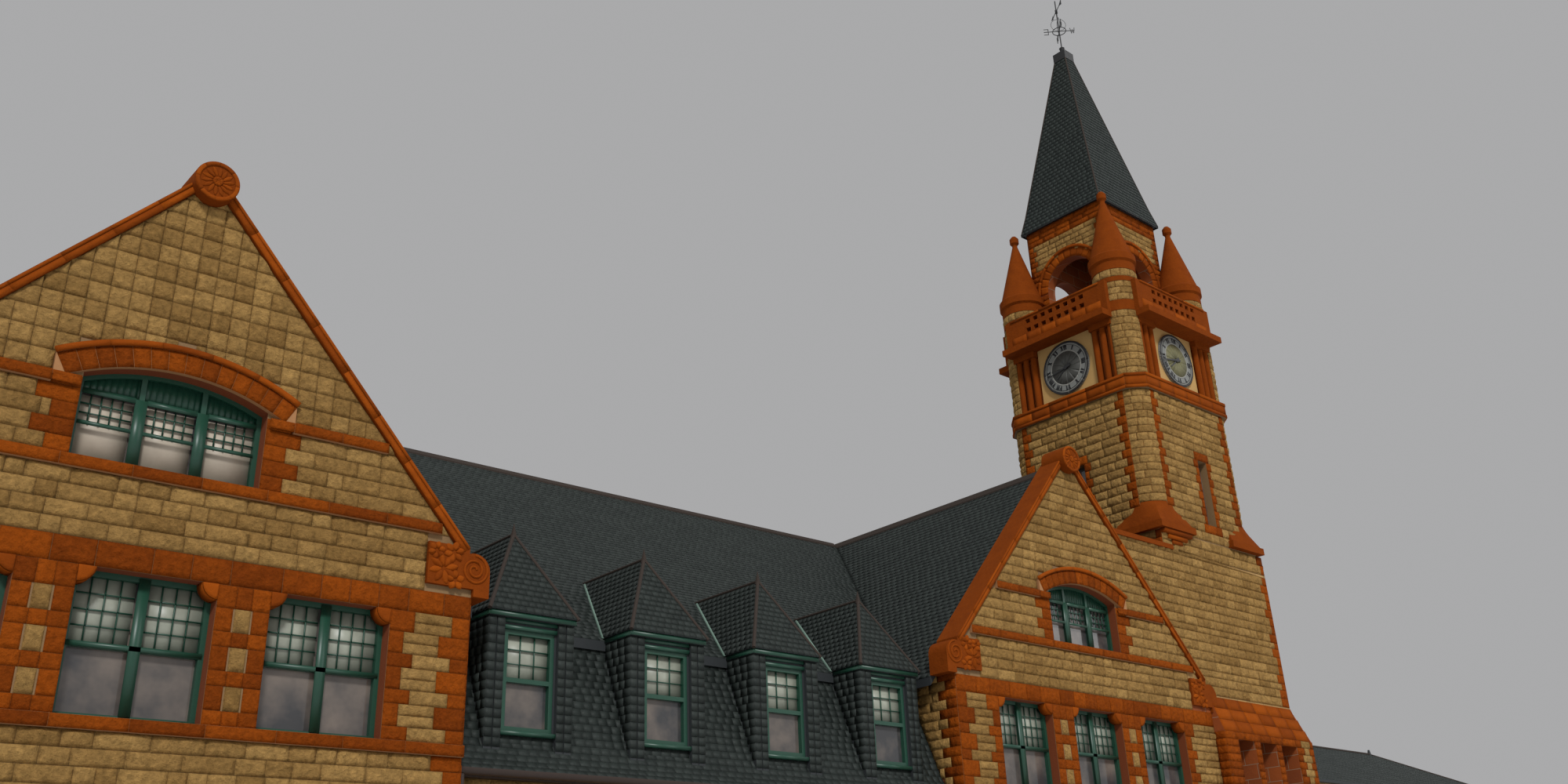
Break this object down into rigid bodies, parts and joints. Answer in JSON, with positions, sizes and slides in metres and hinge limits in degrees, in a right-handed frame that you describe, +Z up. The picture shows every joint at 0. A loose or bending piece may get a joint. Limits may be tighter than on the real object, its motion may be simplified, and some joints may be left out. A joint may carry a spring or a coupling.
{
  "type": "railway station building, 1:2 scale model",
  "caption": "Half-size model of a stone railway station with two gabled pavilions, dormered slate roof, corner clock tower with spire and vane, and a low wing.",
  "frame": {"origin": "on the ground under the main ridge, midway between the two gabled pavilions", "axes": "+X along the street front towards the tower and wing, street front faces -Y, +Z up"},
  "size_m": [33.2143, 11.62, 21.25],
  "materials": {
    "buff_stone": "rock-faced ashlar, weathered",
    "red_stone": "dressed, weathered",
    "slate": "riven, matt",
    "green_joinery": "gloss paint over timber",
    "window_glass": "clear, reflective",
    "painted_iron": "painted green",
    "ridge_metal": "matt, weathered",
    "dark_iron": "painted black",
    "dial_face": "opal glass in an iron frame",
    "floor_timber": "bare boards"
  },
  "bodies": {
    "building": {"left_pavilion_ground_walls": "buff_stone", "left_pavilion_upper_walls": "buff_stone", "right_pavilion_ground_walls": "buff_stone", "right_pavilion_upper_walls": "buff_stone", "gable_walls": "buff_stone", "side_walls": "buff_stone", "range_walls": "buff_stone", "ground_floors": "floor_timber", "upper_floors": "floor_timber", "main_roof": "slate", "pavilion_roofs": "slate", "steep_slopes": "slate", "range_eaves": "painted_iron", "ridge_caps": "ridge_metal", "gable_copings": "red_stone", "kneelers": "red_stone", "string_courses": "red_stone", "dormer_walls": "slate", "dormer_roofs": "slate", "windows": "green_joinery", "window_glass": "window_glass", "doors": "green_joinery", "tower_base": "red_stone", "tower_lower_walls": "buff_stone", "tower_upper_walls": "buff_stone", "corner_turrets": "red_stone", "clock_stage_walls": "buff_stone", "clock_colonnettes": "buff_stone", "dials": "dial_face", "tower_cornice": "red_stone", "parapets": "red_stone", "belfry_walls": "red_stone", "spire": "slate", "vane_mast": "dark_iron", "wing_walls": "buff_stone", "wing_roof": "slate"},
    "front_minute_hand_body": {"front_minute_hand": "dark_iron"},
    "front_hour_hand_body": {"front_hour_hand": "dark_iron"},
    "right_minute_hand_body": {"right_minute_hand": "dark_iron"},
    "right_hour_hand_body": {"right_hour_hand": "dark_iron"},
    "back_minute_hand_body": {"back_minute_hand": "dark_iron"},
    "back_hour_hand_body": {"back_hour_hand": "dark_iron"},
    "left_minute_hand_body": {"left_minute_hand": "dark_iron"},
    "left_hour_hand_body": {"left_hour_hand": "dark_iron"},
    "vane_pointer_body": {"vane_pointer": "dark_iron"}
  },
  "joints": [
    {"name": "front_minute_turn", "type": "hinge", "parent": "building", "child": "front_minute_hand_body", "pos_m": [11.18, -5.55, 11.5], "axis": [0, 1, 0], "continuous": true},
    {"name": "front_hour_turn", "type": "hinge", "parent": "building", "child": "front_hour_hand_body", "pos_m": [11.18, -5.55, 11.5], "axis": [0, 1, 0], "continuous": true},
    {"name": "right_minute_turn", "type": "hinge", "parent": "building", "child": "right_minute_hand_body", "pos_m": [12.71, -4.02, 11.5], "axis": [-1, 0, 0], "continuous": true},
    {"name": "right_hour_turn", "type": "hinge", "parent": "building", "child": "right_hour_hand_body", "pos_m": [12.71, -4.02, 11.5], "axis": [-1, 0, 0], "continuous": true},
    {"name": "back_minute_turn", "type": "hinge", "parent": "building", "child": "back_minute_hand_body", "pos_m": [11.18, -2.49, 11.5], "axis": [0, -1, 0], "continuous": true},
    {"name": "back_hour_turn", "type": "hinge", "parent": "building", "child": "back_hour_hand_body", "pos_m": [11.18, -2.49, 11.5], "axis": [0, -1, 0], "continuous": true},
    {"name": "left_minute_turn", "type": "hinge", "parent": "building", "child": "left_minute_hand_body", "pos_m": [9.65, -4.02, 11.5], "axis": [1, 0, 0], "continuous": true},
    {"name": "left_hour_turn", "type": "hinge", "parent": "building", "child": "left_hour_hand_body", "pos_m": [9.65, -4.02, 11.5], "axis": [1, 0, 0], "continuous": true},
    {"name": "vane_turn", "type": "hinge", "parent": "building", "child": "vane_pointer_body", "pos_m": [11.18, -4.02, 20.96], "axis": [0, 0, 1], "continuous": true}
  ],
  "couplings": [
    {"joint": "front_hour_turn", "follows": "front_minute_turn", "ratio": 0.083333},
    {"joint": "right_minute_turn", "follows": "front_minute_turn", "ratio": 1},
    {"joint": "right_hour_turn", "follows": "front_minute_turn", "ratio": 0.083333},
    {"joint": "back_minute_turn", "follows": "front_minute_turn", "ratio": 1},
    {"joint": "back_hour_turn", "follows": "front_minute_turn", "ratio": 0.083333},
    {"joint": "left_minute_turn", "follows": "front_minute_turn", "ratio": 1},
    {"joint": "left_hour_turn", "follows": "front_minute_turn", "ratio": 0.083333}
  ]
}
